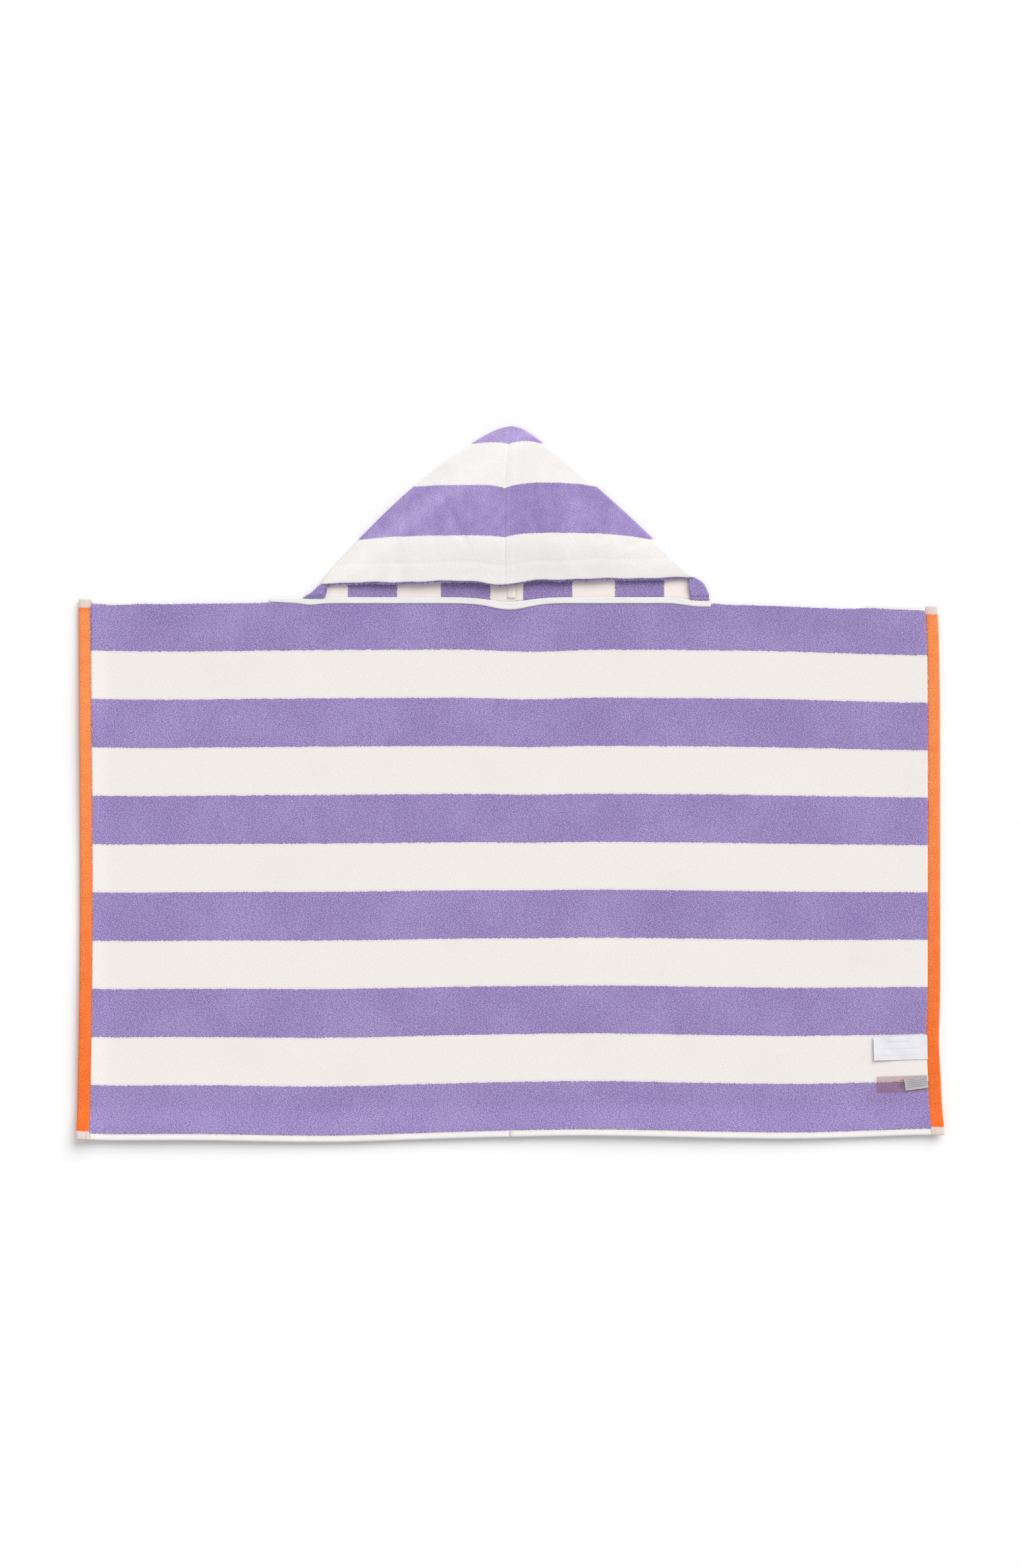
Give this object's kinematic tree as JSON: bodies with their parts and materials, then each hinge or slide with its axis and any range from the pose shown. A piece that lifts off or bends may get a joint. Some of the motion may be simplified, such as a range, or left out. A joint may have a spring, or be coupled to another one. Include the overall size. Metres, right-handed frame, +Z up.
{
  "type": "hooded towel",
  "caption": "Striped terry baby towel laid flat, with a lined pointed hood at the middle of one long edge, contrasting end hems, a neck tape and sewn-in labels.",
  "frame": {"origin": "on the resting plane, under the middle of the whole outline with the hood spread out", "axes": "+X along the towel's length to the end with the labels, +Y from the lower edge to the hood's tip, +Z up off the upper face"},
  "size_m": [1.22, 1.008, 0.0267],
  "materials": {
    "terry": "looped cotton terry in lavender and cream stripes",
    "velour": "sheared cotton velour in lavender and cream stripes",
    "orange_weave": "flat woven cotton end border, bright orange",
    "white_weave": "flat woven white cotton selvedge and tape",
    "satin": "white woven satin label",
    "white_thread": "white sewing thread",
    "orange_thread": "orange sewing thread"
  },
  "bodies": {
    "towel_middle": {"towel_centre": "terry", "lower_hem_centre": "white_weave", "lower_hem_thread_centre": "white_thread", "top_hem_centre": "white_weave", "neck_tape": "white_weave", "neck_tape_thread_upper": "white_thread", "neck_tape_thread_lower": "white_thread"},
    "left_wrap": {"towel_left": "terry", "end_hem_left": "orange_weave", "end_hem_thread_left": "orange_thread", "lower_hem_left": "white_weave", "lower_hem_thread_left": "white_thread", "top_hem_left": "white_weave", "top_hem_thread_left": "white_thread"},
    "right_wrap": {"towel_right": "terry", "end_hem_right": "orange_weave", "end_hem_thread_right": "orange_thread", "lower_hem_right": "white_weave", "lower_hem_thread_right": "white_thread", "top_hem_right": "white_weave", "top_hem_thread_right": "white_thread"},
    "hood_back": {"hood_back_left": "terry", "hood_back_right": "terry", "back_seam_allowance": "terry", "back_seam_thread": "white_thread"},
    "hood_front": {"hood_front_left": "velour", "hood_front_right": "velour", "hood_hem_left": "velour", "hood_hem_right": "velour", "crown_seam_allowance": "velour", "crown_topstitch": "white_thread", "hood_hem_thread_left": "white_thread", "hood_hem_thread_right": "white_thread"},
    "name_label": {"name_label": "satin"},
    "maker_label": {"maker_label": "satin"},
    "care_label": {"care_label": "satin"}
  },
  "joints": [
    {"name": "left_wrap_fold", "type": "hinge", "parent": "towel_middle", "child": "left_wrap", "pos_m": [-0.35, 0, 0.0082], "axis": [0, 1, 0], "range_deg": [0, 140]},
    {"name": "right_wrap_fold", "type": "hinge", "parent": "towel_middle", "child": "right_wrap", "pos_m": [0.35, 0, 0.0082], "axis": [0, -1, 0], "range_deg": [0, 140]},
    {"name": "hood_fold", "type": "hinge", "parent": "towel_middle", "child": "hood_back", "pos_m": [0, 0.264, 0.0082], "axis": [1, 0, 0], "range_deg": [0, 105]},
    {"name": "hood_opening", "type": "hinge", "parent": "hood_back", "child": "hood_front", "pos_m": [0, 0.504, 0.004], "axis": [-1, 0, 0], "range_deg": [0, 45]},
    {"name": "name_label_flip", "type": "hinge", "parent": "right_wrap", "child": "name_label", "pos_m": [0.593, -0.378, 0.0071], "axis": [0, 1, 0], "range_deg": [0, 150]},
    {"name": "maker_label_flip", "type": "hinge", "parent": "right_wrap", "child": "maker_label", "pos_m": [0.593, -0.4275, 0.0071], "axis": [0, 1, 0], "range_deg": [0, 90]},
    {"name": "care_label_flip", "type": "hinge", "parent": "maker_label", "child": "care_label", "pos_m": [0.593, -0.425, 0.0071], "axis": [0, 1, 0], "range_deg": [0, 60]}
  ]
}
